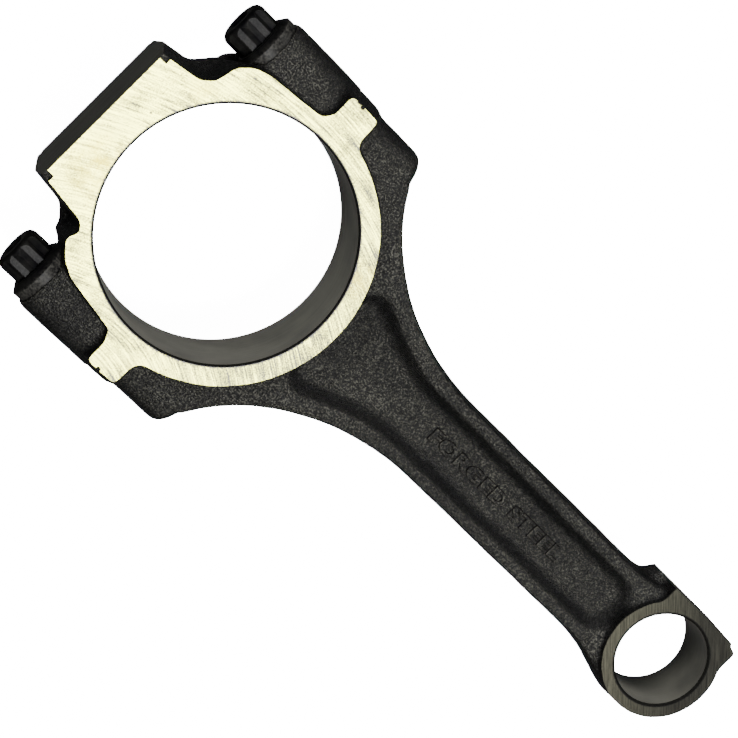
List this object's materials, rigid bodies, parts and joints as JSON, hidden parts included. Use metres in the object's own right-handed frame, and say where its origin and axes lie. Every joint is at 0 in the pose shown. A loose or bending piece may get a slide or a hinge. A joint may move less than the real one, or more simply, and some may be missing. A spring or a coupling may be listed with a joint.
{
  "type": "connecting rod",
  "caption": "Forged connecting rod with a bolted bearing cap, an I-section beam and a small pin eye.",
  "frame": {"origin": "centre of the big-end bore, half way through its width", "axes": "+X along the rod from the big end to the small end, +Y across the rod towards the side with the small end's locating pad, +Z along both bores"},
  "size_m": [0.2111, 0.0898, 0.023],
  "materials": {
    "forging": "black forging skin, rough; side faces ground bright, bores honed",
    "bolt_steel": "black oxide"
  },
  "bodies": {
    "root": {"rod_body": "forging", "bearing_cap": "forging", "cap_bolt_left": "bolt_steel", "cap_bolt_right": "bolt_steel"}
  },
  "joints": []
}
